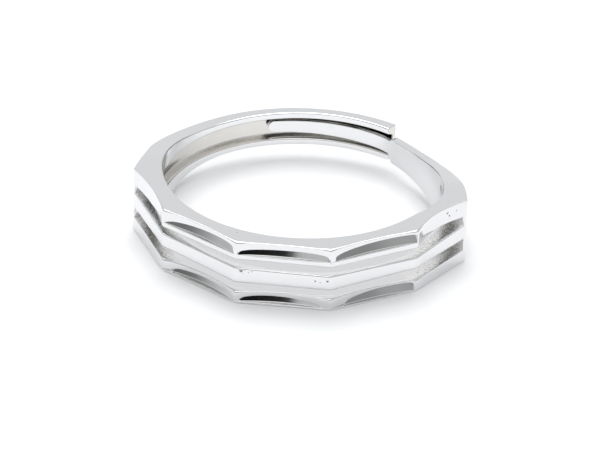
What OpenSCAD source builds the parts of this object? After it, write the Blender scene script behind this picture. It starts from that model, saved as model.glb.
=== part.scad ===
// Open, adjustable finger ring, cast in one piece of silver and polished.
//
// The ring lies on its side. The bore's axis is +Z, the flat rest face is
// z = 0, and the origin is where the bore's axis meets that face. The front
// of the ring faces -Y. Angles go round the axis from the front, positive
// towards +X, so 180 degrees is the back.
//
// Front: five flat-sided facets, pierced by two slots into three rails.
// Back: a channel arm from the -X side and a tongue arm from the +X side.
// The tongue lies in the channel, and the size is set by sliding it.

/* [Finger hole] */
// Inside diameter of the ring
bore_d = 17.2; // [16:0.1:18]

/* [Front] */
// Height of the front, from the rest face to the top face
band_h = 4.2; // [3.8:0.1:5]
// Radius on which the front facets' corners lie
corner_r = 10.15; // [10.05:0.05:10.2]
// Angle that one front facet spans
facet_angle = 33; // [32:0.5:33.5]
// Angle from the front of the last corner, on the channel's side
channel_corner_angle = 79; // [78.5:0.5:80]
// Radius of that corner
channel_corner_r = 10.35; // [10.25:0.05:10.4]
// Angle from the front of the last corner, on the tongue's side
tongue_corner_angle = 76.4; // [76:0.1:77]
// Radius of that corner
tongue_corner_r = 10.56; // [10.46:0.02:10.56]
// Angle from the front at which the shank's round outer side starts
cheek_angle = 100; // [96:1:106]
// Height of the top rail
top_rail_h = 1.17; // [1.1:0.01:1.3]
// Height of the middle rail
middle_rail_h = 1.0; // [0.7:0.02:1.1]
// Height of the bottom rail
bottom_rail_h = 0.82; // [0.8:0.01:1]
// Angle from the front at which both slots end, on the channel's side
channel_slot_end = 78; // [70:1:78]
// Angle from the front at which both slots end, on the tongue's side
tongue_slot_end = 75; // [70:1:75]

/* [Hollows of the outer rails] */
// Depth of the hollow along the top rail's three front facets
top_hollow = 0.15; // [0.05:0.01:0.3]
// Depth of the hollow along the bottom rail's three front facets
bottom_hollow = 0.28; // [0.05:0.01:0.4]
// Depth of the hollow along the top rail's side facet, on the channel's side
channel_side_hollow = 0.25; // [0.1:0.01:0.4]
// Depth of the hollow along the top rail's side facet, on the tongue's side
tongue_side_hollow = 0.46; // [0.1:0.01:0.5]
// Height of the straight strand under each of the top rail's pockets
top_strand_h = 0.33; // [0.3:0.01:0.36]
// Height of the straight strand under each of the bottom rail's pockets
bottom_strand_h = 0.14; // [0.12:0.01:0.18]
// Height of a pocket at its middle, in the first two of the front facets
pocket_h = 0.5; // [0.36:0.02:0.54]
// Height of a pocket in the third of them, where it is taller
tall_pocket_h = 0.64; // [0.5:0.02:0.66]
// Length of a pocket
pocket_l = 5.4; // [4.4:0.1:5.4]
// Depth of a pocket at its middle
pocket_depth = 0.5; // [0.35:0.05:0.6]

/* [Shank] */
// Radius of the shank's outer side
shank_r = 10; // [9.9:0.05:10.1]
// How far in front of the bore's axis that radius is centred
shank_shift = 0.72; // [0.65:0.01:0.8]
// How much each face drops towards the mid height at the back
taper_drop = 0.98; // [0.7:0.02:1.05]
// How much the tongue arm's top face drops, which is more
tongue_arm_drop = 1.54; // [1.3:0.02:1.6]
// Where the drop starts, along Y
taper_start = -1.6; // [-1.6:0.1:-1]
// Distance along Y over which the faces drop
taper_l = 8.8; // [8:0.1:9.5]
// Share of that distance that is the first, outward curve
taper_split = 0.3; // [0.2:0.05:0.5]
// How much higher that curve lies than one that would leave the face smoothly
taper_lift = 0.012; // [0.005:0.001:0.02]

/* [Channel arm] */
// Angle from the front at which the channel starts
channel_start = 86; // [84:1:95]
// Angle past the back at which the channel arm ends
channel_end = 31; // [28:0.5:31]
// Depth of the channel
channel_depth = 0.46; // [0.42:0.01:0.5]
// Height of the channel at its mouth
mouth_h = 1.46; // [1.3:0.02:1.5]
// Height of the channel at its floor
floor_h = 1.06; // [0.96:0.02:1.2]

/* [Tongue arm] */
// Radius of the bore's bend beside the arm
bend_r = 5; // [4.8:0.1:5.2]
// How far from the bore's axis the bend reaches
bend_reach = 8.9; // [8.8:0.02:8.9]
// Angle from the front at which it reaches farthest
bend_angle = 75; // [74:0.5:76]
// Radius of the arm's inner side, which runs flatter than the bore
arm_in_r = 13; // [12.5:0.5:14]
// How close that side comes to the bore's axis
arm_in_near = 8.09; // [8:0.01:8.15]
// Angle from the front at which it comes closest
arm_in_angle = 118.5; // [118:0.5:120]
// Radius of the arm's outer side
arm_out_r = 16; // [15.5:0.5:16.5]
// How close that side comes to the bore's axis
arm_out_near = 8.78; // [8.74:0.02:8.86]
// Angle from the front at which it comes closest
arm_out_angle = 129; // [128.5:0.5:130]
// Angle from the front at which the arm ends and the tongue goes on
shoulder_angle = 146.5; // [144:0.5:147]
// Angle past the back at which the tongue's tip lies
tongue_end = 21.5; // [10:0.5:24]
// Thickness of the tongue
tongue_t = 0.34; // [0.3:0.01:0.38]
// Height of the tongue at its tip
tip_h = 0.76; // [0.6:0.02:0.8]
// Height of the tongue at the shoulder
root_h = 1.02; // [0.8:0.02:1.04]

/* [Hidden] */

$fn = 128;

bore_r = bore_d / 2;
mid_z = band_h / 2;
slot_h = (band_h - top_rail_h - middle_rail_h - bottom_rail_h) / 2;

// Distance of a front facet's middle from the axis
facet_dist = corner_r * cos(facet_angle / 2);
front_facets = [-1, 0, 1];
tall_facet = 1;
// How far from a facet's corner its hollow ends
corner_land = 0.05;

// Where the arms' tops part, in the middle of the gap between their ends
gap_angle = (shoulder_angle + 180 - channel_end) / 2;
// Where the arms' wedges start, well inside the front
arm_from = 70;
// How far round the tongue's root reaches into its arm
root_overlap = 3;
// How far the last facet's plane runs past its corner, as a share of the facet
overrun = 1.3;

// Past everything, and the small overlap of a cut or a union
beyond = 14;
eps = 0.05;

// The point at an angle from the front and a distance from the axis
function at(angle, dist) = [dist * sin(angle), -dist * cos(angle)];

// The corner between two front facets, counted from the middle in halves
function corner(half) = at(half * facet_angle, corner_r);

channel_corner = at(-channel_corner_angle, channel_corner_r);
tongue_corner = at(tongue_corner_angle, tongue_corner_r);

// Radius of the arc with this sagitta over half a chord
function arc_r(half, sagitta) = (half * half + sagitta * sagitta) / (2 * sagitta);

// A wedge round the axis between two angles, as corners of a polygon
function wedge(from, to, steps = 4) =
    concat([[0, 0]], [for (i = [0 : steps]) at(from + (to - from) * i / steps, beyond)]);

// How far from the axis the shank's outer side lies at an angle
function shank_at(angle) =
    let (forward = shank_shift * cos(angle))
    forward + sqrt(forward * forward + shank_r * shank_r - shank_shift * shank_shift);

// A disc whose edge runs past the axis at one angle and at this distance
module flat_disc(r, near, angle) {
    translate(at(angle, near - r)) circle(r);
}

// Everything behind a line across the ring
module behind(y) {
    translate([-beyond, y]) square(2 * beyond);
}

module bore_plan() {
    circle(bore_r);
}

// The bore in front and on the tongue's side, where the arm is bent inwards
module bent_bore_plan() {
    intersection() {
        union() {
            bore_plan();
            flat_disc(bend_r, bend_reach, bend_angle);
        }
        flat_disc(arm_in_r, arm_in_near, arm_in_angle);
    }
}

// Everything inside the facets, the flat cheeks beside them and the shank
module whole_plan() {
    cheek_end = shank_at(cheek_angle);
    polygon(concat(
        [at(-cheek_angle, cheek_end), channel_corner],
        [for (i = [-1.5 : 1 : 1.5]) corner(i)],
        [corner(1.5) + (tongue_corner - corner(1.5)) * overrun],
        [at(cheek_angle, cheek_end)]
    ));
    intersection() {
        translate([0, -shank_shift]) circle(shank_r);
        behind(at(cheek_angle, cheek_end)[1] - eps);
    }
}

// The same, with the tongue's side bent inwards
module bent_plan() {
    intersection() {
        whole_plan();
        flat_disc(arm_out_r, arm_out_near, arm_out_angle);
    }
}

module front_plan() {
    difference() {
        bent_plan();
        bent_bore_plan();
        behind(taper_start);
    }
}

module channel_arm_plan() {
    intersection() {
        difference() {
            whole_plan();
            bore_plan();
        }
        behind(taper_start - eps);
        polygon(wedge(-arm_from, -180 - channel_end));
    }
}

module tongue_arm_plan() {
    intersection() {
        difference() {
            bent_plan();
            bent_bore_plan();
        }
        behind(taper_start - eps);
        polygon(wedge(arm_from, shoulder_angle));
    }
}

// What a tapering face takes off above the top face, seen from the side:
// two arcs that meet at one slope, and level ground behind them
module taper_profile(drop) {
    slope = 2 * atan(drop / taper_l);
    out_r = taper_split * taper_l / sin(slope);
    in_r = (1 - taper_split) * taper_l / sin(slope);
    meet_y = taper_start + taper_split * taper_l;
    meet_z = band_h - out_r * (1 - cos(slope));
    end_y = taper_start + taper_l;
    end_z = band_h - drop;
    difference() {
        translate([taper_start, meet_z]) square([meet_y - taper_start, drop]);
        translate([taper_start, band_h - out_r]) circle(out_r);
    }
    intersection() {
        translate([end_y, end_z + in_r]) circle(in_r);
        translate([meet_y, end_z]) square([end_y - meet_y, 2 * drop]);
    }
    translate([end_y, end_z]) square([beyond, 2 * drop]);
}

module taper_cut(drop) {
    translate([0, 0, taper_lift]) rotate([90, 0, 90])
        linear_extrude(2 * beyond, center = true) taper_profile(drop);
}

// The taper of one arm's top face, which stops short of the other arm
module top_taper(drop, from, to) {
    intersection() {
        taper_cut(drop);
        linear_extrude(beyond) polygon(wedge(from, to));
    }
}

// The taper of the rest face, on both arms
module rest_taper() {
    translate([0, 0, band_h]) mirror([0, 0, 1]) taper_cut(taper_drop);
}

// One slot through the front, whose lower face is at this height
module slot(z) {
    translate([0, 0, z]) linear_extrude(slot_h)
        polygon(wedge(-channel_slot_end, tongue_slot_end));
}

// A shallow hollow along the facet from one corner to the next on its right,
// between two heights
module hollow(from, to, depth, z_low, z_high) {
    length = norm(to - from);
    outward = [to[1] - from[1], from[0] - to[0]] / length;
    r = arc_r(length / 2 - corner_land, depth);
    translate((from + to) / 2 + outward * (r - depth))
        translate([0, 0, z_low]) cylinder(r = r, h = z_high - z_low);
}

// A pocket's outline on the facet: straight below, arched above
module pocket_outline(h) {
    r = arc_r(pocket_l / 2, h);
    intersection() {
        translate([0, h - r]) circle(r);
        translate([-pocket_l / 2, 0]) square([pocket_l, h + eps]);
    }
}

// A pocket of one height in one facet, above a strand that ends at z
module pocket(index, z, h) {
    r = arc_r(pocket_l / 2, pocket_depth);
    intersection() {
        translate(at(index * facet_angle, facet_dist - pocket_depth + r))
            translate([0, 0, z - eps]) cylinder(r = r, h = h + 2 * eps);
        rotate([0, 0, index * facet_angle])
            translate([0, -bore_r, z]) rotate([90, 0, 0])
                linear_extrude(beyond) pocket_outline(h);
    }
}

// The front hollows and pockets of an outer rail, above a strand that ends at z
module rail_cuts(z, depth, z_high) {
    for (i = front_facets) {
        hollow(corner(i - 0.5), corner(i + 0.5), depth, z, z_high);
        pocket(i, z, i == tall_facet ? tall_pocket_h : pocket_h);
    }
}

// The hollows of the top rail's side facets, which run down its whole height
module side_cuts(z_low, z_high) {
    hollow(channel_corner, corner(-1.5), channel_side_hollow, z_low, z_high);
    hollow(corner(1.5), tongue_corner, tongue_side_hollow, z_low, z_high);
}

// The channel: wider at its mouth than at its floor
module channel() {
    intersection() {
        rotate_extrude() polygon([
            [bore_r - eps, mid_z - mouth_h / 2],
            [bore_r + channel_depth, mid_z - floor_h / 2],
            [bore_r + channel_depth, mid_z + floor_h / 2],
            [bore_r - eps, mid_z + mouth_h / 2]
        ]);
        linear_extrude(band_h) polygon(wedge(-channel_start, gap_angle - 360));
    }
}

// The tongue, seen from behind: it narrows to a round tip
module tongue_outline() {
    tip_x = at(180 + tongue_end, bore_r)[0] + tip_h / 2;
    root_x = at(shoulder_angle - root_overlap, bore_r)[0];
    translate([tip_x, mid_z]) circle(tip_h / 2);
    polygon([
        [tip_x, mid_z - tip_h / 2], [root_x, mid_z - root_h / 2],
        [root_x, mid_z + root_h / 2], [tip_x, mid_z + tip_h / 2]
    ]);
}

module tongue() {
    intersection() {
        difference() {
            cylinder(r = bore_r + tongue_t, h = band_h);
            translate([0, 0, -eps]) cylinder(r = bore_r, h = band_h + 2 * eps);
        }
        translate([0, beyond, 0]) rotate([90, 0, 0])
            linear_extrude(beyond) tongue_outline();
    }
}

module ring_band() {
    slot_low = bottom_rail_h;
    top_rail_z = band_h - top_rail_h;
    color("silver") {
        difference() {
            linear_extrude(band_h) {
                front_plan();
                channel_arm_plan();
                tongue_arm_plan();
            }
            top_taper(taper_drop, -arm_from, gap_angle - 360);
            top_taper(tongue_arm_drop, arm_from, gap_angle);
            rest_taper();
            slot(slot_low);
            slot(top_rail_z - slot_h);
            rail_cuts(bottom_strand_h, bottom_hollow, slot_low + eps);
            rail_cuts(top_rail_z + top_strand_h, top_hollow, band_h + eps);
            side_cuts(top_rail_z - eps, band_h + eps);
            channel();
        }
        tongue();
    }
}

ring_band();
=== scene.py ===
# %% [markdown]
# # A double layer ring, cast in silver
#
# The ring is one polished casting. It is open at the back, where a thin tongue lies in a
# channel, and its front is a row of flat facets pierced by two slots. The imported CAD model
# holds the exact form with sharp edges. This lesson makes the surface that an eye sees:
# the same form with edges that polishing has rounded, and metal that is bright outside
# and still rough where the polish could not reach.

# %% Load the frame
import math

import bmesh
import bpy
import numpy as np
from mathutils import Matrix, Vector


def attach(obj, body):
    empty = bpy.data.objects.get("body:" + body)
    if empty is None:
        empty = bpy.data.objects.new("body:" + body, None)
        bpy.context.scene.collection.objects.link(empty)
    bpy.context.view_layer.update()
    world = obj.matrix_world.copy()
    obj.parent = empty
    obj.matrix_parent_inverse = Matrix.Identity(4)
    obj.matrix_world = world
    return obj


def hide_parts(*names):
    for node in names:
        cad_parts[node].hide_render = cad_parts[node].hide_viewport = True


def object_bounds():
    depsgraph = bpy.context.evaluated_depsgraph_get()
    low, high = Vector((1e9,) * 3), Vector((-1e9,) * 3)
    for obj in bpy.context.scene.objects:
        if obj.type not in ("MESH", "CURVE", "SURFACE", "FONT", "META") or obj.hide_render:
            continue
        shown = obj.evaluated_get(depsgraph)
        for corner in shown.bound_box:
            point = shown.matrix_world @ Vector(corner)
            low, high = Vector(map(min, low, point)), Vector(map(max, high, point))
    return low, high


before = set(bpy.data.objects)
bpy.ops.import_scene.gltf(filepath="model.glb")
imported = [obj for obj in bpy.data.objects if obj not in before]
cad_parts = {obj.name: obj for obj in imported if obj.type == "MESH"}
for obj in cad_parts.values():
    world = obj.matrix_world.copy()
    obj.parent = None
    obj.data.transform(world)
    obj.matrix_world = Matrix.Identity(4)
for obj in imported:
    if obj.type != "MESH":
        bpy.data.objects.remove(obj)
cad_box = [list(corner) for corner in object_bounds()]
print("solid's box in mm:", np.round(np.array(cad_box) * 1000, 2).tolist())

# %% [markdown]
# ## The ring's own sizes
#
# A goldsmith thinks of a ring as seen from above: a round hole, an outer outline, and a
# height. All sizes below are millimetres, and all angles are degrees round the hole,
# counted from the front and growing to the right. The height comes from the frame, so the
# surface can't drift away from the solid that it stands for.

# %% Sizes
MM = 0.001
TINY = 1e-9
band_h = (cad_box[1][2] - cad_box[0][2]) / MM
mid_z = band_h / 2

bore_r = 8.6
facet_pitch = 33
corner_r = 10.15
corner_angles = (-79, -49.5, -16.5, 16.5, 49.5, 76.4)
corner_radii = (10.35, corner_r, corner_r, corner_r, corner_r, 10.56)
cheek_angle = 100
shank_r, shank_shift = 10.0, 0.72
slot_start, slot_stop = -78, 75
print(f"band {band_h:.2f} mm high, corners at {corner_angles} degrees")

# %% [markdown]
# ## The outline seen from above
#
# Each facet is a flat plane. From the hole's axis, a plane at distance d that faces an
# angle f is met at distance d / cos(angle - f). The nearest plane wins, and that gives
# sharp corners. Polishing takes them off a little, so a soft minimum is used instead: it
# follows the nearest plane, and rounds the step from one to the next.

# %% Planes, arcs and the soft minimum
CORNER_SOFTNESS = 0.022
BEND_SOFTNESS = 0.05
LEAST_COS, WIDEST_TURN = 0.1, 80


def soft_min(values, softness=CORNER_SOFTNESS):
    """The least of several lengths, rounded where two are close: minus the softness times
    the logarithm of the sum of exp(-value / softness)."""
    values = np.stack(np.broadcast_arrays(*values))
    least = values.min(axis=0)
    return least - softness * np.log(np.exp((least - values) / softness).sum(axis=0))


def plan_point(angle, dist):
    """The point at an angle from the front and a distance from the axis: x is the
    distance times the sine, y is minus the distance times the cosine."""
    angle = np.radians(angle)
    return np.stack([dist * np.sin(angle), -dist * np.cos(angle)], axis=-1)


class Facet:
    """A flat face between two corners, the second to the right of the first."""

    def __init__(self, start, stop):
        """Works out half the face's length, the plane's distance from the axis, the angle
        it faces, and how far the face's middle is from the point nearest to the axis."""
        along = (stop - start) / np.linalg.norm(stop - start)
        outward = np.array([along[1], -along[0]])
        self.half = np.linalg.norm(stop - start) / 2
        self.dist = start @ outward
        self.facing = math.degrees(math.atan2(outward[0], -outward[1]))
        self.middle = (start + stop) @ along / 2

    def reach(self, angle):
        """How far the plane is in each direction: its distance over the cosine of the
        angle between the direction and the way it faces."""
        return self.dist / np.maximum(np.cos(np.radians(angle - self.facing)), LEAST_COS)

    def place(self, angle):
        """How far along the face each direction falls, from minus one to one."""
        off = np.clip(angle - self.facing, -WIDEST_TURN, WIDEST_TURN)
        return (self.dist * np.tan(np.radians(off)) - self.middle) / self.half


def to_disc(angle, radius, near, near_angle):
    """How far a disc's edge is in each direction, where the disc comes closest to the
    axis, at the distance near, in one direction."""
    shift, turn = near - radius, np.radians(angle - near_angle)
    return shift * np.cos(turn) + np.sqrt(radius**2 - (shift * np.sin(turn))**2)


print("a crossing of two planes loses", round(1 - float(soft_min([1.0, 1.0])), 3), "mm")

# %% The ring's outer and inner outline
corner_points = [plan_point(a, r) for a, r in zip(corner_angles, corner_radii)]
facets = {k - 2: Facet(corner_points[k], corner_points[k + 1]) for k in range(5)}
shank = dict(radius=shank_r, near=shank_r - shank_shift, near_angle=180)
cheek_end = plan_point(-cheek_angle, to_disc(-cheek_angle, **shank))
cheek = Facet(cheek_end, corner_points[0])
arm_out = dict(radius=16.0, near=8.78, near_angle=129)
arm_in = dict(radius=13.0, near=8.09, near_angle=118.5)
bend = dict(radius=5.0, near=8.9, near_angle=75)
CHEEK_GROWTH, CHEEK_MARGIN = 0.12, 3
FAR = 20.0


def outer_radius(angle):
    """The outer outline: five facets, the left cheek, the shank's arc and the right arm,
    the nearest of them. In front the arc is held outside, as the facets stand inside it,
    and the right arm's disc counts on its own side only."""
    before_cheek = np.maximum(0, cheek_angle - CHEEK_MARGIN - np.abs(angle))
    arc = to_disc(angle, **shank) + CHEEK_GROWTH * before_cheek
    flats = [facet.reach(angle) for facet in (*facets.values(), cheek)]
    arm = np.where(angle < 0, FAR, to_disc(angle, **arm_out))
    return soft_min([*flats, arc, arm])


def inner_radius(angle):
    """The hole's wall: a circle, but bent out at the right corner and in along the arm.
    The bent-out part is the farther of two lengths, so its soft minimum is taken of their
    negatives. The left arm, beyond the back, keeps the plain circle."""
    circle = np.full_like(angle, bore_r)
    corner = -soft_min([-circle, -to_disc(angle, **bend)], BEND_SOFTNESS)
    bent = soft_min([corner, to_disc(angle, **arm_in)], BEND_SOFTNESS)
    return np.where(angle < 0, circle, bent)


for turn in np.array([0, 16.5, 76.4, 120, -180]):
    print(f"wall at {turn} degrees: {inner_radius(turn):.2f} to {outer_radius(turn):.2f}")

# %% [markdown]
# ## How the band grows lower behind the front
#
# Seen from the side, the top and the rest face draw together behind the front: each runs
# level, curves inward, slopes evenly, curves back and runs level again. The tongue's arm
# has a longer drop on its top than the channel's arm has. A polished slope is a mirror:
# at fourteen degrees it still shows the tent, and one steeper than fifteen would show the
# floor as a white band, which the photograph doesn't have.

# %% The taper of the two faces
taper_start, taper_l = -1.6, 8.8
taper_first, taper_last = 0.2, 0.4
channel_arm_drop, tongue_arm_drop, rest_drop = 0.98, 1.54, 0.98


def face_drop(y, drop):
    """How far a face has sunk at each depth y: a curve over the first share of the
    length, an even slope, and a curve back to level over the last share. Both curves
    are parabolas, so the steepest slope is the drop over one minus half of both shares."""
    way = np.clip((y - taper_start) / taper_l, 0, 1)
    steep = drop / (1 - (taper_first + taper_last) / 2)
    first = way**2 / (2 * taper_first)
    even = way - taper_first / 2
    last = drop / steep - (1 - way)**2 / (2 * taper_last)
    return steep * np.select([way < taper_first, way < 1 - taper_last], [first, even], last)


# Below the first height points rise with the rest face, above the second they sink with
# the top, and in between they share both
SHARE_START, SHARE_END = 0.3, 3.9


def squeeze(points, angle, drop):
    """Lowers an outline's top and lifts its bottom by the two faces' drops at that depth,
    and shares the change out over the heights between them."""
    y = -points[..., 0] * np.cos(np.radians(angle))[:, None]
    share = np.clip((points[..., 1] - SHARE_START) / (SHARE_END - SHARE_START), 0, 1)
    lifted = points[..., 1] + face_drop(y, rest_drop) * (1 - share)
    return np.stack([points[..., 0], lifted - face_drop(y, drop) * share], axis=-1)


print("back is", round(band_h - channel_arm_drop - rest_drop, 2), "mm high")

# %% [markdown]
# ## An outline with rounded corners
#
# Every stretch of the ring is an outline carried round the hole. An outline is a list of
# corners, and each corner is replaced by a small curve. This one helper rounds them for
# all angles at once. Where a side shrinks to nothing its curves shrink with it, so a
# detail such as a pocket can fade out without changing the number of points.

# %% Rounded outlines
ROUND_STEPS = 4
MOST_OF_SIDE = 0.45


def curve(start, corner, stop):
    """A quadratic curve from start to stop that leaves and arrives along the sides."""
    t = np.linspace(0, 1, ROUND_STEPS + 1)[:, None]
    start, corner, stop = start[:, None], corner[:, None], stop[:, None]
    return (1 - t)**2 * start + 2 * t * (1 - t) * corner + t**2 * stop


def stretch(start, stop, cuts):
    """The points that cut the line from start to stop into equal lengths, ends left out."""
    t = np.arange(1, cuts)[:, None] / cuts
    return start[:, None] + (stop - start)[:, None] * t


def rounded_outline(corners, radii, cuts):
    """A closed outline for each angle. corners is angles by corners by (distance, height),
    and each corner gives way to a bend that starts and ends one radius from it, or less
    where a side is too short for that."""
    to_last = np.roll(corners, 1, axis=1) - corners
    to_next = np.roll(corners, -1, axis=1) - corners
    last_l = np.linalg.norm(to_last, axis=2, keepdims=True)
    next_l = np.linalg.norm(to_next, axis=2, keepdims=True)
    room = MOST_OF_SIDE * np.minimum(last_l, next_l)
    reach = np.minimum(np.asarray(radii)[..., None], room)
    leave = corners + to_last * reach / (last_l + TINY)
    join = corners + to_next * reach / (next_l + TINY)
    parts = []
    for k, side_cuts in enumerate(cuts):
        after = (k + 1) % len(cuts)
        parts.append(curve(leave[:, k], corners[:, k], join[:, k]))
        parts.append(stretch(join[:, k], leave[:, after], side_cuts))
    return np.concatenate(parts, axis=1)


def bend_start(cuts, corner):
    """Where a corner's bend starts in the list of an outline's points."""
    return sum(ROUND_STEPS + c for c in cuts[:corner])


def corner_rows(*corners):
    """The corners as rounded_outline wants them, each given as its distances and heights."""
    return np.stack([np.stack(corner, -1) for corner in corners], axis=1)


print("points round one corner:", ROUND_STEPS + 1)

# %% [markdown]
# ## The three rails
#
# The slots leave three rails across the front. The middle one is a plain bar with a soft
# lower edge. The top and the bottom rail are hollowed between the corners, and under that
# hollow a straight strand runs along the lower edge. Between strand and hollow, each front
# facet has a pocket like a leaf: straight below, arched above, with a wall that leans back
# under the arch. Leaning back, the wall mirrors the tent and not the floor, which is why
# the pockets are the darkest places on the ring. On the right facet the wall is flat.
# The heights were read off the photograph corner by corner, because hand finishing has
# left no two of them quite alike.

# %% Heights of the rails at the corners
top_rail_low = (3.12, 3.03, 3.04, 2.99, 3.02, 3.12)
middle_rail_high = (2.62, 2.55, 2.45, 2.38, 2.36, 2.60)
middle_rail_low = (1.55, 1.64, 1.42, 1.38, 1.57, 1.58)
bottom_rail_high = (0.90, 0.78, 0.82, 0.80, 0.80, 0.84)


def level(angle, heights):
    """A height that runs straight from corner to corner."""
    return np.interp(angle, corner_angles, heights)


slot_heights = np.subtract(middle_rail_low, bottom_rail_high)
print("lower slot's height at the corners in mm:", np.round(slot_heights, 2).tolist())

# %% Hollows and pockets along a facet
pocket_depth, flat_depth, pocket_lean = 0.22, 0.04, 0.47
# One row a facet: height of the strand, height of the opening, how sharply it closes at
# its left and at its right end, and where along the facet it starts and stops
top_pockets = {
    -1: (0.33, 0.56, 0.5, 0.15, 0.04, 0.97),
    0: (0.31, 0.50, 0.3, 0.2, 0.03, 0.98),
    1: (0.38, 0.60, 0.2, 0.06, 0.05, 0.995),
}
bottom_pockets = {
    -1: (0.14, 0.38, 0.3, 0.3, 0.12, 0.95),
    0: (0.15, 0.40, 0.3, 0.5, 0.05, 0.92),
    1: (0.11, 0.58, 0.35, 0.1, 0.18, 0.98),
}
# How deep the rails' faces are hollowed in each facet, from the left side to the right
top_hollows = {-2: 0.25, -1: 0.2, 0: 0.1, 1: 0.2, 2: 0.46}
bottom_hollows = {-2: 0.0, -1: 0.36, 0: 0.28, 1: 0.26, 2: 0.0}
# The facet with flat pocket walls, how short the slopes at their ends are, and how much
# of the rail is left above a pocket at least
FLAT_POCKET, POCKET_END, LEAST_BROW = 1, 0.08, 0.06


def leaf(place, left, right):
    """A leaf's opening between minus one and one: a power of the way from the left end
    times a power of the way from the right end, over its greatest value."""
    way = np.clip((place + 1) / 2, 0, 1)
    top = left / (left + right)
    return way**left * (1 - way)**right / (top**left * (1 - top)**right)


def facet_cuts(angle, hollows, pockets):
    """For each direction: how deep the whole rail and the face over the strand are
    hollowed, how deep the pocket is, where the strand ends, and how high it opens."""
    whole, face, depth, opening = (np.zeros_like(angle) for _ in range(4))
    middles = [k * facet_pitch for k in pockets]
    strand = np.interp(angle, middles, [row[0] for row in pockets.values()])
    for k, hollow in hollows.items():
        inside = np.abs(facets[k].place(angle)) < 1
        place = np.where(inside, facets[k].place(angle), 1.0)
        slant = np.cos(np.radians(np.where(inside, angle - facets[k].facing, 0)))
        bowl = hollow * (1 - place**2) / slant
        face += bowl
        if k not in pockets:
            whole += bowl
            continue
        _, height, left, right, start, stop = pockets[k]
        spot = np.clip(((place + 1) / 2 - start) / (stop - start) * 2 - 1, -1, 1)
        if k == FLAT_POCKET:
            depth += flat_depth * np.clip((1 - np.abs(spot)) / POCKET_END, 0, 1)
        else:
            depth += pocket_depth * (1 - spot**2)
        opening += height * leaf(spot, left, right)
    return whole, face, np.maximum(depth, face), strand, opening


middle_cuts = facet_cuts(np.zeros(1), top_hollows, top_pockets)
print("the middle top pocket opens", middle_cuts[-1].round(2), "mm high")

# %% Outlines of the rails
# The corners' places in the outlines' lists, into how many lengths each side is cut, and
# the radius at each corner
OUTER_BOTTOM, OUTER_TOP, INNER_TOP = 1, 6, 7
outer_rail_cuts = (3, 1, 2, 4, 1, 3, 5, 3)
outer_rail_radii = {
    "top": (0.05, 0.08, 0.05, 0.03, 0.03, 0.05, 0.045, 0.08),
    "bottom": (0.08, 0.10, 0.05, 0.03, 0.03, 0.05, 0.06, 0.05),
}
WORN_REACH, WORN_MORE = 4.5, 0.10


def worn_radii(angle, radii):
    """The outline's radii at each angle. The outer top edge is rounder close to a corner
    between two front facets, where the polishing wheel catches it from both sides."""
    gap = np.abs(angle[:, None] - np.array(corner_angles[1:5])).min(axis=1)
    worn = np.tile(np.array(radii), (len(angle), 1))
    worn[:, OUTER_TOP] += WORN_MORE * np.clip(1 - gap / WORN_REACH, 0, 1)
    return worn


def outer_rail(angle, low, high, hollows, pockets, inner, outer, radii):
    """The top or the bottom rail: up the strand, in over its top, up the pocket's wall,
    out under the arch, up the hollowed face, and back over the top and down the hole."""
    whole, face, depth, strand, opening = facet_cuts(angle, hollows, pockets)
    strand_top = low + strand
    arch = np.minimum(strand_top + opening, high - LEAST_BROW)
    corners = corner_rows(
        (inner, low), (outer - whole, low), (outer - whole, strand_top),
        (outer - depth, strand_top), (outer - depth - pocket_lean * (arch - strand_top), arch),
        (outer - face, arch), (outer - face, high), (inner, high))
    return rounded_outline(corners, worn_radii(angle, radii), outer_rail_cuts)


BAR_BOTTOM, BAR_TOP, BAR_INNER_TOP = 1, 2, 3
middle_rail_cuts = (3, 4, 3, 4)
middle_rail_radii = (0.05, 0.16, 0.10, 0.05)


def middle_rail(angle, inner, outer):
    """The plain middle rail, with its lower outer edge polished the softest."""
    low, high = level(angle, middle_rail_low), level(angle, middle_rail_high)
    corners = corner_rows((inner, low), (outer, low), (outer, high), (inner, high))
    return rounded_outline(corners, middle_rail_radii, middle_rail_cuts)


def rails(angle, inner, outer):
    """The outlines of the bottom, the middle and the top rail at each angle."""
    floor, roof = np.zeros_like(angle), np.full_like(angle, band_h)
    bottom = outer_rail(
        angle, floor, level(angle, bottom_rail_high), bottom_hollows, bottom_pockets,
        inner, outer, outer_rail_radii["bottom"])
    top = outer_rail(
        angle, level(angle, top_rail_low), roof, top_hollows, top_pockets,
        inner, outer, outer_rail_radii["top"])
    return bottom, middle_rail(angle, inner, outer), top


print("points round an outer rail:", sum(ROUND_STEPS + c for c in outer_rail_cuts))

# %% [markdown]
# ## Where the slots end
#
# Past the slots the three rails run on as one section. Its outline is theirs with the
# faces that look into the slots left out: up the outer sides, over the top and down the
# inner sides, with a straight bridge across each slot. Because the bridge starts and ends
# on the rails' own points, the rails and the section weld without a seam.

# %% One outline from three
BRIDGE_CUTS = 11
# The points at which bends start, and then those at which the bends end that lead up the
# outer side and down the inner side
rail_marks = {k: bend_start(outer_rail_cuts, k) for k in (OUTER_BOTTOM, OUTER_TOP, INNER_TOP)}
middle_marks = {k: bend_start(middle_rail_cuts, k) for k in (BAR_BOTTOM, BAR_TOP, BAR_INNER_TOP)}
outer_up = rail_marks[OUTER_BOTTOM] + ROUND_STEPS
inner_down = rail_marks[INNER_TOP] + ROUND_STEPS
middle_up = middle_marks[BAR_BOTTOM] + ROUND_STEPS
middle_down = middle_marks[BAR_INNER_TOP] + ROUND_STEPS


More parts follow.
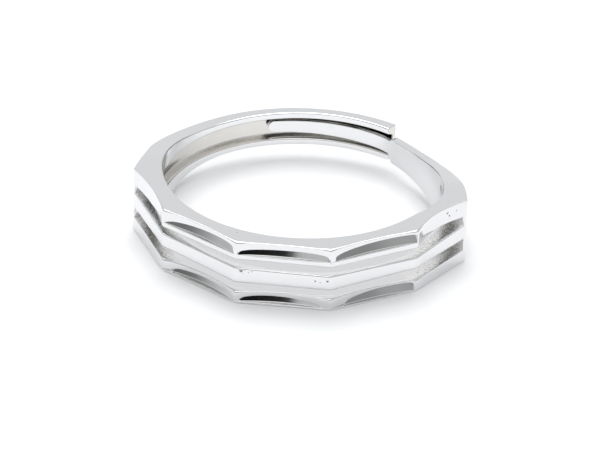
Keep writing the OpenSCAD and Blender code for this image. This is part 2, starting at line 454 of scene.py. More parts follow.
def joined_outline(bottom, middle, top):
    """The one outline behind the slots, as named pieces in order round it."""
    bottom_out = bottom[:, :rail_marks[OUTER_TOP] + 1]
    middle_out = middle[:, middle_up:middle_marks[BAR_TOP] + 1]
    top_over = top[:, outer_up:inner_down]
    top_in = np.concatenate([top[:, inner_down:], top[:, :1]], axis=1)
    middle_in = np.concatenate([middle[:, middle_down:], middle[:, :1]], axis=1)
    bottom_in = bottom[:, inner_down:]
    return {
        "bottom_out": bottom_out,
        "low_bridge_out": stretch(bottom_out[:, -1], middle_out[:, 0], BRIDGE_CUTS),
        "middle_out": middle_out,
        "high_bridge_out": stretch(middle_out[:, -1], top_over[:, 0], BRIDGE_CUTS),
        "top_over": top_over,
        "top_in": top_in,
        "high_bridge_in": stretch(top_in[:, -1], middle_in[:, 0], BRIDGE_CUTS),
        "middle_in": middle_in,
        "low_bridge_in": stretch(middle_in[:, -1], bottom_in[:, 0], BRIDGE_CUTS),
        "bottom_in": bottom_in,
    }


def slot_walls(bottom, middle, top, pieces):
    """The two flat walls that close the slots, each as one row of points round it."""
    lower = np.concatenate([
        bottom[:, rail_marks[OUTER_TOP]:inner_down + 1], pieces["low_bridge_in"][:, ::-1],
        middle[:, :middle_up + 1], pieces["low_bridge_out"][:, ::-1],
    ], axis=1)
    upper = np.concatenate([
        middle[:, middle_marks[BAR_TOP]:middle_down + 1], pieces["high_bridge_in"][:, ::-1],
        top[:, :outer_up + 1], pieces["high_bridge_out"][:, ::-1],
    ], axis=1)
    return lower, upper


print("points on each bridge:", BRIDGE_CUTS - 1)

# %% [markdown]
# ## The channel and the tongue
#
# Behind the front the left arm is a channel, open towards the hole, wider at its mouth
# than at its floor. The right arm steps down at a shoulder to a thin tongue with a round
# tip that lies in the channel. Both are the joined outline again with its points moved:
# the channel presses the inner side in, and the tongue shrinks the whole outline.

# %% The channel's side of the outline
channel_start, channel_full, channel_stop = 86, 88.5, 211
channel_depth, mouth_h, floor_h = 0.46, 1.46, 1.06
lip_round = 0.06
SLANT_CUTS = 3


def ramp(value, start, stop):
    """Zero before start, one after stop, and a smooth step between them."""
    t = np.clip((value - start) / (stop - start), 0, 1)
    return t * t * (3 - 2 * t)


def channel_side(turn, top_in, middle_in, bottom_in, end):
    """The inner side with the channel in it: lip, slanting side, floor, slanting side and
    lip. turn is the angle from the front on either side, and end closes the outline."""
    deep = bore_r + channel_depth * ramp(turn, channel_start, channel_full)
    flat = np.full_like(turn, bore_r)
    mouth, floor = mouth_h / 2, floor_h / 2

    def at(dist, height):
        """The points at those distances and one height."""
        return np.stack([dist, np.full_like(dist, height)], -1)

    def slanting(sign):
        """From above the lip, round it, down the slanting side and round the foot."""
        lip, foot = at(flat, mid_z + sign * mouth), at(deep, mid_z + sign * floor)
        above = at(flat, mid_z + sign * (mouth + lip_round))
        below = at(deep, mid_z + sign * (floor - lip_round))
        fall = (foot - lip) * lip_round / np.linalg.norm(foot - lip, axis=1, keepdims=True)
        first, second = curve(above, lip, lip + fall), curve(foot - fall, foot, below)
        between = stretch(first[:, -1], second[:, 0], SLANT_CUTS)
        return np.concatenate([first, between, second], axis=1)

    upper, lower = slanting(1), slanting(-1)[:, ::-1]
    return np.concatenate([
        top_in[:, :1], stretch(top_in[:, 0], upper[:, 0], top_in.shape[1] - 1), upper,
        stretch(upper[:, -1], lower[:, 0], middle_in.shape[1] - 1), lower,
        stretch(lower[:, -1], end, bottom_in.shape[1]),
    ], axis=1)


side_lean = math.degrees(math.atan2((mouth_h - floor_h) / 2, channel_depth))
print("the channel's sides lean out by", round(side_lean), "degrees")

# %% Angles, closer together at the corners
COARSE, FINE, FINE_REACH = 0.8, 0.25, 2.2


def angle_steps(start, stop, extra=()):
    """Evenly spaced angles from start to stop, with closer ones round each corner."""
    steps = [np.linspace(start, stop, round((stop - start) / COARSE) + 1)]
    for corner in (*corner_angles, -cheek_angle, *extra):
        near = corner + np.arange(-FINE_REACH, FINE_REACH + FINE / 2, FINE)
        steps.append(near[(near > start) & (near < stop)])
    return np.unique(np.round(np.concatenate(steps), 3))


print("angles across the front:", len(angle_steps(slot_start, slot_stop)))

# %% [markdown]
# ## From outlines to one closed surface
#
# A grid of points becomes a surface when each point is joined to its neighbours. The rows
# are the angles and the columns are the outline's points, and the last column joins the
# first. All the stretches go into one list of faces, and points that fall on the same
# place are merged at the end, which welds rails, arms and walls into a single skin.

# %% A collector of grids
class Skin:
    """Gathers grids of points and their faces, with a finish for each face."""

    def __init__(self):
        self.points, self.faces, self.finish, self.count = [], [], [], 0

    def add_points(self, rows):
        """Keeps a grid of points and gives their numbers, as a grid of the same shape."""
        self.points.append(rows.reshape(-1, 3))
        first = self.count
        self.count += len(self.points[-1])
        return first + np.arange(rows.shape[0] * rows.shape[1]).reshape(rows.shape[:2])

    def add_grid(self, rows, finish, turned=False):
        """Joins each row to the next with four-sided faces, all the way round."""
        index = self.add_points(rows)
        here, there = index[:-1], index[1:]
        quads = np.stack([here, there, np.roll(there, -1, 1), np.roll(here, -1, 1)], -1)
        each = np.broadcast_to(finish, quads.shape[:2]).ravel()
        self._keep(quads.reshape(-1, 4), each, turned)

    def add_wall(self, row, finish, turned=False):
        """One flat face round a single row of points."""
        index = self.add_points(row[None])
        self._keep(index, np.array([finish]), turned)

    def _keep(self, faces, finish, turned):
        """Keeps faces and their finishes, with the points in reverse order if turned."""
        self.faces += (faces[:, ::-1] if turned else faces).tolist()
        self.finish.append(finish)


def place(outline, angle):
    """Carries outlines round the hole: distance and height at an angle become x, y, z."""
    xy = plan_point(angle[:, None], outline[..., 0])
    return np.concatenate([xy, outline[..., 1:]], axis=-1) * MM


POLISHED, POCKET, SLOT, CHANNEL = range(4)


def rail_finish(columns, pocket, *slot_sides):
    """The finish of each column of a rail's faces: polished, but as it was cast on the sides
    that look into a slot, and as cast with a painted shade in the pockets."""
    finish = np.full(columns, POLISHED)
    finish[slice(*pocket)] = POCKET
    for start, stop in slot_sides:
        finish[start:stop] = SLOT
    return finish


# %% The front's rails
skin = Skin()
front_angles = angle_steps(slot_start, slot_stop)
front_rails = rails(front_angles, inner_radius(front_angles), outer_radius(front_angles))
outer_columns = front_rails[0].shape[1]
slot_side_low = (0, rail_marks[OUTER_BOTTOM])
slot_side_high = (rail_marks[OUTER_TOP] + ROUND_STEPS, rail_marks[INNER_TOP])
strand_corner, arch_corner = bend_start(outer_rail_cuts, 2), bend_start(outer_rail_cuts, 5)
pocket_columns = (strand_corner + ROUND_STEPS, arch_corner + 1)
no_columns = (0, 0)
middle_sides = (
    (0, middle_marks[BAR_BOTTOM]),
    (middle_marks[BAR_TOP] + ROUND_STEPS, middle_marks[BAR_INNER_TOP]),
)
front_finish = (
    rail_finish(outer_columns, pocket_columns, slot_side_high),
    rail_finish(front_rails[1].shape[1], no_columns, *middle_sides),
    rail_finish(outer_columns, pocket_columns, slot_side_low),
)
for outline, finish in zip(front_rails, front_finish):
    skin.add_grid(place(outline, front_angles), finish)
print("points in the rails:", skin.count)

# %% Helpers for the arms
END_ROUND = 0.06


def inward_normals(outline, reach=0.03):
    """The direction into an outline at each of its points, at right angles to the line
    from the place one reach before it to the place one reach after it."""
    closed = np.concatenate([outline, outline[:1]])
    length = np.concatenate([[0], np.cumsum(np.linalg.norm(np.diff(closed, axis=0), axis=1))])
    whole = length[-1]

    def at(distance):
        """The place at a distance along the outline, round and round."""
        both = [np.interp(distance, length, closed[:, k], period=whole) for k in (0, 1)]
        return np.stack(both, -1)

    along = at(length[:-1] + reach) - at(length[:-1] - reach)
    along /= np.linalg.norm(along, axis=1, keepdims=True)
    return np.stack([-along[:, 1], along[:, 0]], axis=-1)


def rounded_rim(outline, dist, share=1.0):
    """The rows that round an arm's end: the outline shrinks by one minus the cosine while
    it moves on by the sine. The share says which of its points shrink. Returns the rows
    and how many degrees each is from the end."""
    t = np.linspace(0, math.pi / 2, ROUND_STEPS + 1)[1:]
    inward = inward_normals(outline) * np.broadcast_to(share, len(outline))[:, None]
    shrunk = END_ROUND * (1 - np.cos(t))[:, None, None] * inward
    return outline + shrunk, math.degrees(END_ROUND / dist) * (1 - np.sin(t))


def side_section(angle, drop):
    """The joined outline at each angle, squeezed by the tapers, as its named pieces."""
    pieces = joined_outline(*rails(angle, inner_radius(angle), outer_radius(angle)))
    return {name: squeeze(piece, angle, drop) for name, piece in pieces.items()}


def close_slots(angle, turned):
    """Adds the two walls at the slots' end."""
    turn = np.array([float(angle)])
    outlines = rails(turn, inner_radius(turn), outer_radius(turn))
    for wall in slot_walls(*outlines, joined_outline(*outlines)):
        skin.add_wall(place(wall, turn)[0], SLOT, turned)


close_slots(slot_start, True)
close_slots(slot_stop, False)
print("points with the slots' end walls:", skin.count)

# %% The left arm with its channel
# The channel's outline has taken over this many degrees before the channel deepens, and
# the angles are closest together as many after that
CHANNEL_MARGIN = 1
left_angles = angle_steps(-channel_stop, slot_start, (-channel_start - CHANNEL_MARGIN,))
pieces = side_section(left_angles, channel_arm_drop)
in_order = list(pieces)
first_inside = in_order.index("top_in")
outside = np.concatenate([pieces[name] for name in in_order[:first_inside]], axis=1)
inside = np.concatenate([pieces[name] for name in in_order[first_inside:]], axis=1)
pressed = channel_side(
    -left_angles, pieces["top_in"], pieces["middle_in"], pieces["bottom_in"], outside[:, 0])
blend = ramp(-left_angles, -slot_start, channel_start - CHANNEL_MARGIN)[:, None, None]
left_outline = np.concatenate([outside, inside + (pressed - inside) * blend], axis=1)
rim, rim_turn = rounded_rim(left_outline[0], shank_r)
left_outline = np.concatenate([rim[::-1], left_outline[1:]])
left_angles = np.concatenate([(-channel_stop + rim_turn)[::-1], left_angles[1:]])

column = np.arange(left_outline.shape[1])
lip_end = outside.shape[1] + pieces["top_in"].shape[1]
in_channel = (column >= lip_end) & (column < len(column) - pieces["bottom_in"].shape[1])
left_finish = np.where(left_angles[1:, None] < -channel_start, CHANNEL, POLISHED)
left_rows = place(left_outline, left_angles)
skin.add_grid(left_rows, np.where(in_channel, left_finish, POLISHED))
skin.add_wall(left_rows[0], CHANNEL, turned=True)
print("left arm rows:", len(left_rows), "columns:", left_rows.shape[1])

# %% The right arm and its tongue
shoulder_angle, tongue_stop = 146.5, 201.5
tongue_t, root_h, tip_h = 0.3, 0.95, 0.76
TIP_FLAT, TIP_ROWS = 0.06, 14
fillet_turn, root_sink, tongue_rise = 2.4, 0.1, 0.3

arm_angles = angle_steps(slot_stop, shoulder_angle)
arm_pieces = side_section(arm_angles, tongue_arm_drop)
arm_outline = np.concatenate(list(arm_pieces.values()), axis=1)
above_inside = arm_outline[-1, :, 0] - arm_outline[-1, :, 0].min()
shrinking = np.clip(above_inside / tongue_t, 0, 1)
rim, rim_turn = rounded_rim(arm_outline[-1], arm_out["near"], shrinking)
arm_outline = np.concatenate([arm_outline[:-1], rim])
arm_angles = np.concatenate([arm_angles[:-1], shoulder_angle - rim_turn])


def tongue_rows(outline, angle):
    """The arm's last outline made small: distances are scaled between the tongue's two
    faces, and heights to a height that leaves the arm in a fillet, narrows evenly, rises
    a little as it does, and closes in a round tip with a small flat at its end."""
    low, high = outline.min(axis=0), outline.max(axis=0)
    share = (outline - low) / (high - low)
    way = (angle - angle[0]) / (angle[-1] - angle[0])
    fillet = 1 - ramp(angle, angle[0], angle[0] + fillet_turn)
    height = root_h + (tip_h - root_h) * way
    height = height + (high[1] - low[1] - height) * fillet**2
    middle = mid_z - root_sink + tongue_rise * way
    middle = middle + ((high[1] + low[1]) / 2 - middle) * fillet**2
    to_tip = np.radians(angle[-1] - angle) * bore_r / (tip_h / 2)
    height = height * np.sqrt(1 - np.clip(1 - to_tip, 0, 1)**2)
    height = np.maximum(height, TIP_FLAT)
    dist = inner_radius(angle)[:, None] + share[None, :, 0] * tongue_t
    level_z = middle[:, None] + (share[None, :, 1] - 0.5) * height[:, None]
    return np.stack([dist, level_z], axis=-1)


tip_length = math.degrees(tip_h / 2 / bore_r)
tip_angles = tongue_stop - tip_length * (1 - np.sin(np.linspace(0, math.pi / 2, TIP_ROWS)))
tongue_angles = np.concatenate([
    np.arange(shoulder_angle, shoulder_angle + fillet_turn, FINE),
    np.arange(shoulder_angle + fillet_turn, tip_angles[0] - COARSE / 2, COARSE), tip_angles])
right_outline = np.concatenate([arm_outline, tongue_rows(arm_outline[-1], tongue_angles)])
right_rows = place(right_outline, np.concatenate([arm_angles, tongue_angles]))
skin.add_grid(right_rows, np.full(right_rows.shape[1], POLISHED))
skin.add_wall(right_rows[-1], POLISHED)
print("right arm rows:", len(right_rows), "columns:", right_rows.shape[1])

# %% One closed mesh
WELD = 2e-7
SHARP_FROM = 38


def closed_mesh(name, gathered):
    """A mesh from the gathered grids: merged, turned outwards, and smooth but for edges
    that bend by more than the sharp angle."""
    mesh = bpy.data.meshes.new(name)
    mesh.from_pydata(np.concatenate(gathered.points), [], gathered.faces)
    mesh.polygons.foreach_set("material_index", np.concatenate(gathered.finish).astype(np.int32))
    bm = bmesh.new()
    bm.from_mesh(mesh)
    bmesh.ops.remove_doubles(bm, verts=bm.verts, dist=WELD)
    bmesh.ops.dissolve_degenerate(bm, dist=WELD, edges=bm.edges)
    bmesh.ops.recalc_face_normals(bm, faces=bm.faces)
    open_edges = sum(not edge.is_manifold for edge in bm.edges)
    volume = bm.calc_volume(signed=True) / MM**3
    bm.to_mesh(mesh)
    bm.free()
    mesh.polygons.foreach_set("use_smooth", np.ones(len(mesh.polygons), bool))
    mesh.set_sharp_from_angle(angle=math.radians(SHARP_FROM))
    print(f"{name}: {len(mesh.polygons)} faces, {open_edges} open edges, {volume:.1f} cubic mm")
    return mesh


def new_object(name, data):
    """An object in the scene that shows the data."""
    made = bpy.data.objects.new(name, data)
    bpy.context.scene.collection.objects.link(made)
    return made


ring_mesh = closed_mesh("silver_ring", skin)
ring = new_object("silver_ring", ring_mesh)
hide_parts("ring_band")
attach(ring, "root")

# %% [markdown]
# ## Silver
#
# Polished silver has almost no colour of its own: it shows the studio. What makes it look
# real is what the polish did not reach. So one metal gets four finishes: a bright one
# outside; a slightly dull one in the pockets, whose slightly darker colour is a painted
# shade; one in the slots that is polished in front and left as cast on the sides; and a
# rougher, warmer one in the channel, darker as a painted shade for the channel and the gap
# round the tongue. The grain is a node group, built once and used in each with its own
# values.

# %% Node helpers
def new_group(name, inputs, outputs):
    """An empty shader node group with named sockets, each given as its type."""
    group = bpy.data.node_groups.new(name, "ShaderNodeTree")
    for side, sockets in (("INPUT", inputs), ("OUTPUT", outputs)):
        for label, kind in sockets.items():
            group.interface.new_socket(name=label, in_out=side, socket_type=f"NodeSocket{kind}")
    return group, group.nodes.new("NodeGroupInput"), group.nodes.new("NodeGroupOutput")


def add_node(tree, kind, **settings):
    """A node with its settings, and its inputs set by name through the inputs key."""
    node = tree.nodes.new(kind)
    inputs = settings.pop("inputs", {})
    for key, value in settings.items():
        setattr(node, key, value)
    for socket, value in inputs.items():
        node.inputs[socket].default_value = value
    return node


def maths(tree, operation, second=None):
    """A maths node, whose second input can be a fixed number."""
    inputs = {} if second is None else {1: second}
    return add_node(tree, "ShaderNodeMath", operation=operation, inputs=inputs)


def smooth_step(tree, start, stop, falling=False):
    """A smooth step between two values of its input, from zero to one or from one to zero."""
    return add_node(tree, "ShaderNodeMapRange", interpolation_type="SMOOTHSTEP", inputs={
        "From Min": start, "From Max": stop, "To Min": falling, "To Max": not falling})


def wire(tree, links):
    """Links nodes, each link given as a node, its output, the next node and its input."""
    for source, output, target, socket in links:
        tree.links.new(source.outputs[output], target.inputs[socket])


def new_material(name):
    """A material with its node tree and its shader node."""
    material = bpy.data.materials.new(name)
    material.use_nodes = True
    return material, material.node_tree, material.node_tree.nodes["Principled BSDF"]


# %% The group that makes cast grain
def cast_grain_group():
    """Fine grain and scattered pits. The height is a fine noise minus the pits, which are
    the cores of scattered cells, and the mask, for the roughness, grows with the noise."""
    group, given, result = new_group(
        "cast_grain",
        {"Vector": "Vector", "Grain scale": "Float", "Pit scale": "Float", "Pit size": "Float"},
        {"Height": "Float", "Roughness mask": "Float"},
    )
    grain = add_node(group, "ShaderNodeTexNoise", inputs={"Detail": 3.0, "Roughness": 0.6})
    cells = add_node(group, "ShaderNodeTexVoronoi", feature="F1")
    pits = smooth_step(group, 0.0, 1.0, falling=True)
    total = maths(group, "SUBTRACT")
    mask = add_node(group, "ShaderNodeMapRange", inputs={"From Min": 0.35, "From Max": 0.7})
    wire(group, (
        (given, "Vector", grain, "Vector"), (given, "Grain scale", grain, "Scale"),
        (given, "Vector", cells, "Vector"), (given, "Pit scale", cells, "Scale"),
        (cells, "Distance", pits, "Value"), (given, "Pit size", pits, "From Max"),
        (grain, "Fac", total, 0), (pits, "Result", total, 1), (total, "Value", result, "Height"),
        (grain, "Fac", mask, "Value"), (mask, "Result", result, "Roughness mask"),
    ))
    return group


cast_grain = cast_grain_group()
print("group outputs:", [s.name for s in cast_grain.interface.items_tree if s.in_out == "OUTPUT"])

# %% [markdown]
# ## Marks that the casting left
#
# A cast ring never comes out of the polish quite clean. A gas bubble leaves a pit, and a
# file that could not get into a corner leaves a rough patch. An image could hold such
# marks, but the metal's own texture keeps them crisp from near by, so each is a ragged
# spot round one point: duller, rougher and a little sunken.

# %% The group that makes one mark
MARK_GRAIN, MARK_EATEN = 9000.0, 2.0
MARK_FULL, MARK_GONE = 1.4, 1.8


def casting_mark_group():
    """One ragged spot. Its mask falls in a smooth step with a sum: the distance from the
    centre over the radius, plus a fine noise that eats into it here and there."""
    group, given, result = new_group(
        "casting_mark",
        {"Vector": "Vector", "Centre": "Vector", "Radius": "Float"},
        {"Mask": "Float"},
    )
    apart = add_node(group, "ShaderNodeVectorMath", operation="DISTANCE")
    share = maths(group, "DIVIDE")
    noise = add_node(group, "ShaderNodeTexNoise", inputs={"Scale": MARK_GRAIN, "Detail": 2.0})
    ragged = maths(group, "MULTIPLY_ADD", MARK_EATEN)
    mask = smooth_step(group, MARK_FULL, MARK_GONE, falling=True)
    wire(group, (
        (given, "Vector", apart, 0), (given, "Centre", apart, 1),
        (apart, "Value", share, 0), (given, "Radius", share, 1), (given, "Vector", noise, "Vector"),
        (noise, "Fac", ragged, 0), (share, "Value", ragged, 2),
        (ragged, "Value", mask, "Value"), (mask, "Result", result, "Mask"),
    ))
    return group


casting_mark = casting_mark_group()
# Where each mark is, in millimetres, and its radius
casting_marks = (
    ((-2.50, -9.73, 2.26), 0.15),
    ((-2.27, -9.73, 2.34), 0.07),
    ((-2.05, -9.73, 2.20), 0.06),
    ((-1.85, -9.73, 2.27), 0.05),
    ((-2.38, -9.73, 2.10), 0.05),
    ((2.68, -9.73, 2.04), 0.09),
    ((1.95, -9.73, 1.98), 0.07),
    ((2.25, -9.73, 1.92), 0.05),
    ((-2.91, -8.57, 4.20), 0.07),
    ((9.59, -2.99, 3.74), 0.13),
    ((9.64, -2.85, 3.52), 0.10),
    ((9.17, -3.55, 3.82), 0.10),
    ((9.25, -3.40, 3.60), 0.09),
    ((8.38, 0.45, 3.15), 0.36),
    ((8.43, 0.22, 3.34), 0.30),
    ((8.30, 0.70, 3.22), 0.22),
)
print("marks:", len(casting_marks))


def all_marks(tree, place_node, marks):
    """A node whose value is the greatest of the masks of all the marks."""
    most = None
    for centre, radius in marks:
        spot = add_node(tree, "ShaderNodeGroup", node_tree=casting_mark, inputs={
            "Centre": [c * MM for c in centre], "Radius": radius * MM})
        wire(tree, [(place_node, "Object", spot, "Vector")])
        if most is None:
            most = spot
            continue
        greater = maths(tree, "MAXIMUM")
        wire(tree, ((most, 0, greater, 0), (spot, "Mask", greater, 1)))
        most = greater
    return most


MARK_COLOUR, MARK_ROUGHNESS, MARK_DEPTH = (0.30, 0.29, 0.28, 1), 0.45, 0.00003


def marked(tree, mask, looks):
    """Mixes the marks into the colour, the roughness and the normal, where the mask is.
    looks gives the node and the output that each of the three comes from."""
    stain = add_node(tree, "ShaderNodeMix", data_type="RGBA", inputs={"B": MARK_COLOUR})
    worn = add_node(tree, "ShaderNodeMix", data_type="FLOAT", inputs={"B": MARK_ROUGHNESS})
    dent = add_node(tree, "ShaderNodeBump", invert=True, inputs={
        "Strength": 1.0, "Distance": MARK_DEPTH})
    wire(tree, (
        (mask, 0, stain, "Factor"), (*looks["Base Color"], stain, "A"),
        (mask, 0, worn, "Factor"), (*looks["Roughness"], worn, "A"),
        (mask, 0, dent, "Height"), (*looks["Normal"], dent, "Normal"),
    ))
    return {
        "Base Color": (stain, "Result"), "Roughness": (worn, "Result"), "Normal": (dent, "Normal")}


# %% A silver of one finish
def side_fade(tree, place_node, start, stop):
    """A node that is zero in front and one on the sides: the angle from the front, which is
    the arc tangent of the width over the distance forward, mapped between two angles."""
    parts = add_node(tree, "ShaderNodeSeparateXYZ")
    width, forward = maths(tree, "ABSOLUTE"), maths(tree, "MULTIPLY", -1.0)
    turn = maths(tree, "ARCTAN2")
    fade = smooth_step(tree, math.radians(start), math.radians(stop))
    wire(tree, (
        (place_node, "Object", parts, "Vector"), (parts, "X", width, 0), (parts, "Y", forward, 0),
        (width, "Value", turn, 0), (forward, "Value", turn, 1), (turn, "Value", fade, "Value"),
    ))
    return fade


def faded(tree, fade, node, output):
    """The product of the fade and another node's output, as a node and its output."""
    product = maths(tree, "MULTIPLY")
    wire(tree, ((fade, "Result", product, 0), (node, output, product, 1)))
    return product, "Value"


CLOUD_SCALE, GRAIN_DEPTH = 420.0, 0.00002


def silver(name, bright, dull, rough, bump, grain_sizes, fade_angles=None, marks=()):
    """One finish of silver. Its colour runs between bright and dull over broad clouds, its
    roughness between the two rough values with the grain, and its bump is the grain's
    height. The grain's sizes are its scale, the pits' scale and the pits' size.
    With two fade angles, all three grow from nothing in front to their full on the sides.
    Marks are added as sunken spots with a colour and a roughness of their own."""
    material, tree, shader = new_material(name)
    shader.inputs["Metallic"].default_value = 1.0
    place_node = add_node(tree, "ShaderNodeTexCoord")
    grain = add_node(tree, "ShaderNodeGroup", node_tree=cast_grain, inputs=dict(
        zip(("Grain scale", "Pit scale", "Pit size"), grain_sizes)))
    clouds = add_node(tree, "ShaderNodeTexNoise", inputs={"Scale": CLOUD_SCALE, "Detail": 2.0})
    tint = add_node(tree, "ShaderNodeMix", data_type="RGBA", inputs={
        "A": (*bright, 1), "B": (*dull, 1)})
    roughness = add_node(tree, "ShaderNodeMapRange", inputs=dict(zip(("To Min", "To Max"), rough)))
    relief = add_node(tree, "ShaderNodeBump", inputs={"Strength": bump, "Distance": GRAIN_DEPTH})
    cloudy, grainy = (clouds, "Fac"), (grain, "Roughness mask")
    if fade_angles:
        fade = side_fade(tree, place_node, *fade_angles)
        cloudy, grainy = faded(tree, fade, *cloudy), faded(tree, fade, *grainy)
        strength = maths(tree, "MULTIPLY", bump)
        wire(tree, ((fade, "Result", strength, 0), (strength, "Value", relief, "Strength")))
    wire(tree, (
        (place_node, "Object", grain, "Vector"), (place_node, "Object", clouds, "Vector"),
        (*cloudy, tint, "Factor"), (*grainy, roughness, "Value"),
        (grain, "Height", relief, "Height"),
    ))
    looks = {"Base Color": (tint, "Result"), "Roughness": (roughness, "Result"),
             "Normal": (relief, "Normal")}
    if marks:
        looks = marked(tree, all_marks(tree, place_node, marks), looks)
    wire(tree, [(*source, shader, socket) for socket, source in looks.items()])
    return material


finishes = [
    silver("polished_silver", bright=(0.80, 0.805, 0.815), dull=(0.79, 0.795, 0.80),
           rough=(0.05, 0.09), bump=0.02, grain_sizes=(2500, 260, 0.03), marks=casting_marks),
    # Pockets: cast grain, and a slightly darker, warmer colour that is a painted shade
    silver("pocket_silver_cast_and_painted_shade", bright=(0.80, 0.80, 0.80), dull=(0.76, 0.76, 0.75),
           rough=(0.07, 0.14), bump=0.06, grain_sizes=(9000, 3500, 0.12)),
    silver("slot_silver", bright=(0.82, 0.82, 0.82), dull=(0.97, 0.96, 0.94),
           rough=(0.07, 0.55), bump=0.1, grain_sizes=(12000, 5000, 0.2), fade_angles=(43, 56)),
    # Channel: rough as cast, with a darker, warmer colour as painted shade in channel and gap
    silver("channel_silver_cast_and_painted_shade", bright=(0.74, 0.725, 0.70), dull=(0.66, 0.645, 0.615),
           rough=(0.1, 0.22), bump=0.08, grain_sizes=(14000, 4200, 0.2)),
]
for finish in finishes:
    ring_mesh.materials.append(finish)
print("finishes:", [m.name for m in ring_mesh.materials])

# %% [markdown]
# ## The floor and the light
#
# The ring lies on white paper in a light tent. The paper is lit until it is nearly pure
# white, with only a soft shadow under the ring. Tents are open where the camera looks in,
# and that dark opening is what polished metal shows in its hollows. The photograph's other
# pockets show grey strips as well, such as the folds of a tent would make. So the
# surrounding light is bright and even high up, and has dark and grey strips low down.

# %% The paper floor
paper, paper_tree, paper_shader = new_material("white_paper")
paper_shader.inputs["Base Color"].default_value = (0.93, 0.93, 0.935, 1)
paper_shader.inputs["Roughness"].default_value = 0.85
paper_grain = add_node(paper_tree, "ShaderNodeTexNoise", inputs={"Scale": 900.0, "Detail": 3.0})
paper_bump = add_node(paper_tree, "ShaderNodeBump", inputs={
    "Strength": 0.05, "Distance": GRAIN_DEPTH})
paper_place = add_node(paper_tree, "ShaderNodeTexCoord")
wire(paper_tree, (
    (paper_place, "Object", paper_grain, "Vector"), (paper_grain, "Fac", paper_bump, "Height"),
    (paper_bump, "Normal", paper_shader, "Normal"),
))

FLOOR_HALF = 0.6
floor_mesh = bpy.data.meshes.new("floor")
floor_signs = ((-1, -1), (1, -1), (1, 1), (-1, 1))
floor_corners = [(x * FLOOR_HALF, y * FLOOR_HALF, 0) for x, y in floor_signs]
floor_mesh.from_pydata(floor_corners, [], [(0, 1, 2, 3)])
floor_mesh.materials.append(paper)
floor = new_object("floor", floor_mesh)
print("floor is", FLOOR_HALF * 2, "m wide")

# %% The photograph's camera
IMAGE_W, IMAGE_H = 600, 450
PX_PER_MM = 16.32
CAMERA_DIST = 300.0
CAMERA_RISE, CAMERA_TURN, CAMERA_ROLL = 0.5240, 0.1087, 0.0291
ORIGIN_PX = (301.985, 226.5)
SENSOR_W = 36.0


def photo_camera():
    """A camera that sees the ring as the photograph does. It looks at the origin from a
    distance, turned a little to the right of the front, and its lens is the distance
    times the pixels per millimetre, over the image's width, times the sensor's."""
    turn = Matrix.Rotation(CAMERA_TURN, 3, "Z")
    forward = turn @ Vector((0, math.cos(CAMERA_RISE), -math.sin(CAMERA_RISE)))
    level_right = turn @ Vector((1, 0, 0))
    level_up = level_right.cross(forward)
    right = level_right * math.cos(CAMERA_ROLL) + level_up * math.sin(CAMERA_ROLL)
    up = level_up * math.cos(CAMERA_ROLL) - level_right * math.sin(CAMERA_ROLL)
    data = bpy.data.cameras.new("camera")
    data.sensor_width = SENSOR_W
    data.lens = PX_PER_MM * CAMERA_DIST / IMAGE_W * SENSOR_W
    data.shift_x = (IMAGE_W / 2 - ORIGIN_PX[0]) / IMAGE_W
    data.shift_y = (ORIGIN_PX[1] - IMAGE_H / 2) / IMAGE_W
    data.clip_start, data.clip_end = 0.01, 10
    camera = new_object("camera", data)
    axes = Matrix((right, up, -forward)).transposed().to_4x4()
    camera.matrix_world = Matrix.Translation(-forward * CAMERA_DIST * MM) @ axes
    return camera


camera = photo_camera()
bpy.context.scene.camera = camera
toward_camera = camera.matrix_world.translation.normalized()
print("lens", round(camera.data.lens, 1), "mm, camera at", np.round(camera.location, 3).tolist())

# %% Light from all round, with dark strips
# Degrees round the ring from the camera's side, growing to the photograph's right, and
# how bright the tent is there
tent_levels = (
    (-180, 0.84), (-168, 0.84), (-162, 0.10), (-144, 0.10), (-138, 0.78), (-100, 0.72),
    (-84, 0.55), (-74, 0.36), (-62, 0.18), (-50, 0.16), (-45, 0.58), (-20, 0.60),
    (-14, 0.03), (26, 0.03), (34, 0.40), (42, 0.42), (54, 0.29), (72, 0.33), (110, 0.42),
    (132, 0.34), (152, 0.10), (160, 0.80), (180, 0.84))
# From the first to the second angle above the floor the tent passes to its even upper
# part, and from the third to the fourth to its top
tent_upper, tent_top = 0.84, 1.0
tent_rise = (26, 34, 47, 68)
tent_colour = (0.975, 0.985, 1.0, 1)


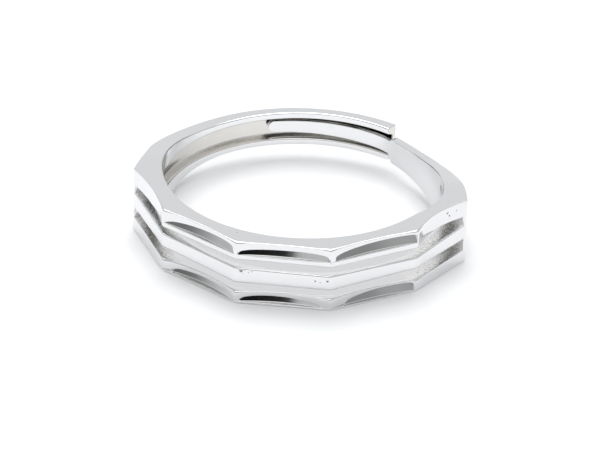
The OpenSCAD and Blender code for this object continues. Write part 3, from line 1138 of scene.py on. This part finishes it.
def tent_world():
    """The surrounding light. The direction's angle round the ring, counted from the
    camera, looks up the brightness low down. Higher directions pass in two smooth steps,
    by the sine of their height, to the even upper part and to the top."""
    world = bpy.data.worlds.new("tent")
    world.use_nodes = True
    tree = world.node_tree
    place_node = add_node(tree, "ShaderNodeTexCoord")
    front = Vector((toward_camera.x, toward_camera.y, 0)).normalized()
    parts = [
        add_node(tree, "ShaderNodeVectorMath", operation="DOT_PRODUCT", inputs={1: axis})
        for axis in (front, (-front.y, front.x, 0), (0, 0, 1))]
    along, across, rise = parts
    turn = maths(tree, "ARCTAN2")
    share = add_node(tree, "ShaderNodeMapRange", inputs={"From Min": -math.pi, "From Max": math.pi})
    walls = add_node(tree, "ShaderNodeFloatCurve")
    points = walls.mapping.curves[0].points
    spots = [((degrees + 180) / 360, value) for degrees, value in tent_levels]
    points[0].location, points[-1].location = spots[0], spots[-1]
    for spot in spots[1:-1]:
        points.new(*spot)
    walls.mapping.update()
    wire(tree, [(place_node, "Generated", part, 0) for part in parts])
    wire(tree, (
        (across, "Value", turn, 0), (along, "Value", turn, 1),
        (turn, "Value", share, "Value"), (share, "Result", walls, "Value"),
    ))
    last = walls
    for start, stop, brightness in ((*tent_rise[:2], tent_upper), (*tent_rise[2:], tent_top)):
        height = smooth_step(tree, math.sin(math.radians(start)), math.sin(math.radians(stop)))
        passed = add_node(tree, "ShaderNodeMix", data_type="FLOAT", inputs={"B": brightness})
        wire(tree, (
            (rise, "Value", height, "Value"), (height, "Result", passed, "Factor"),
            (last, 0, passed, "A"),
        ))
        last = passed
    background = tree.nodes["Background"]
    background.inputs["Color"].default_value = tent_colour
    wire(tree, [(last, 0, background, "Strength")])
    return world


bpy.context.scene.world = tent_world()
print("darkest strip of the tent:", min(brightness for _, brightness in tent_levels))

# %% [markdown]
# ## Two soft lights
#
# The shadow in the photograph lies in front of the ring and is soft, so the main light is
# wide and stands high behind it. A weaker one in front brightens the paper that the
# front's upright faces mirror.

# %% The soft lights
def soft_light(name, place_m, size_m, power):
    """A square area light that points at the ring, its power in watts."""
    data = bpy.data.lights.new(name, "AREA")
    data.shape = "SQUARE"
    data.size = size_m
    data.energy = power
    lamp = new_object(name, data)
    lamp.location = place_m
    lamp.rotation_euler = Vector(place_m).to_track_quat("Z", "Y").to_euler()


soft_light("softbox_above", place_m=(-0.05, 0.23, 0.52), size_m=0.36, power=1.5)
soft_light("softbox_front", place_m=(0.04, -0.24, 0.46), size_m=0.30, power=0.3)
bpy.context.scene.view_settings.view_transform = "Standard"
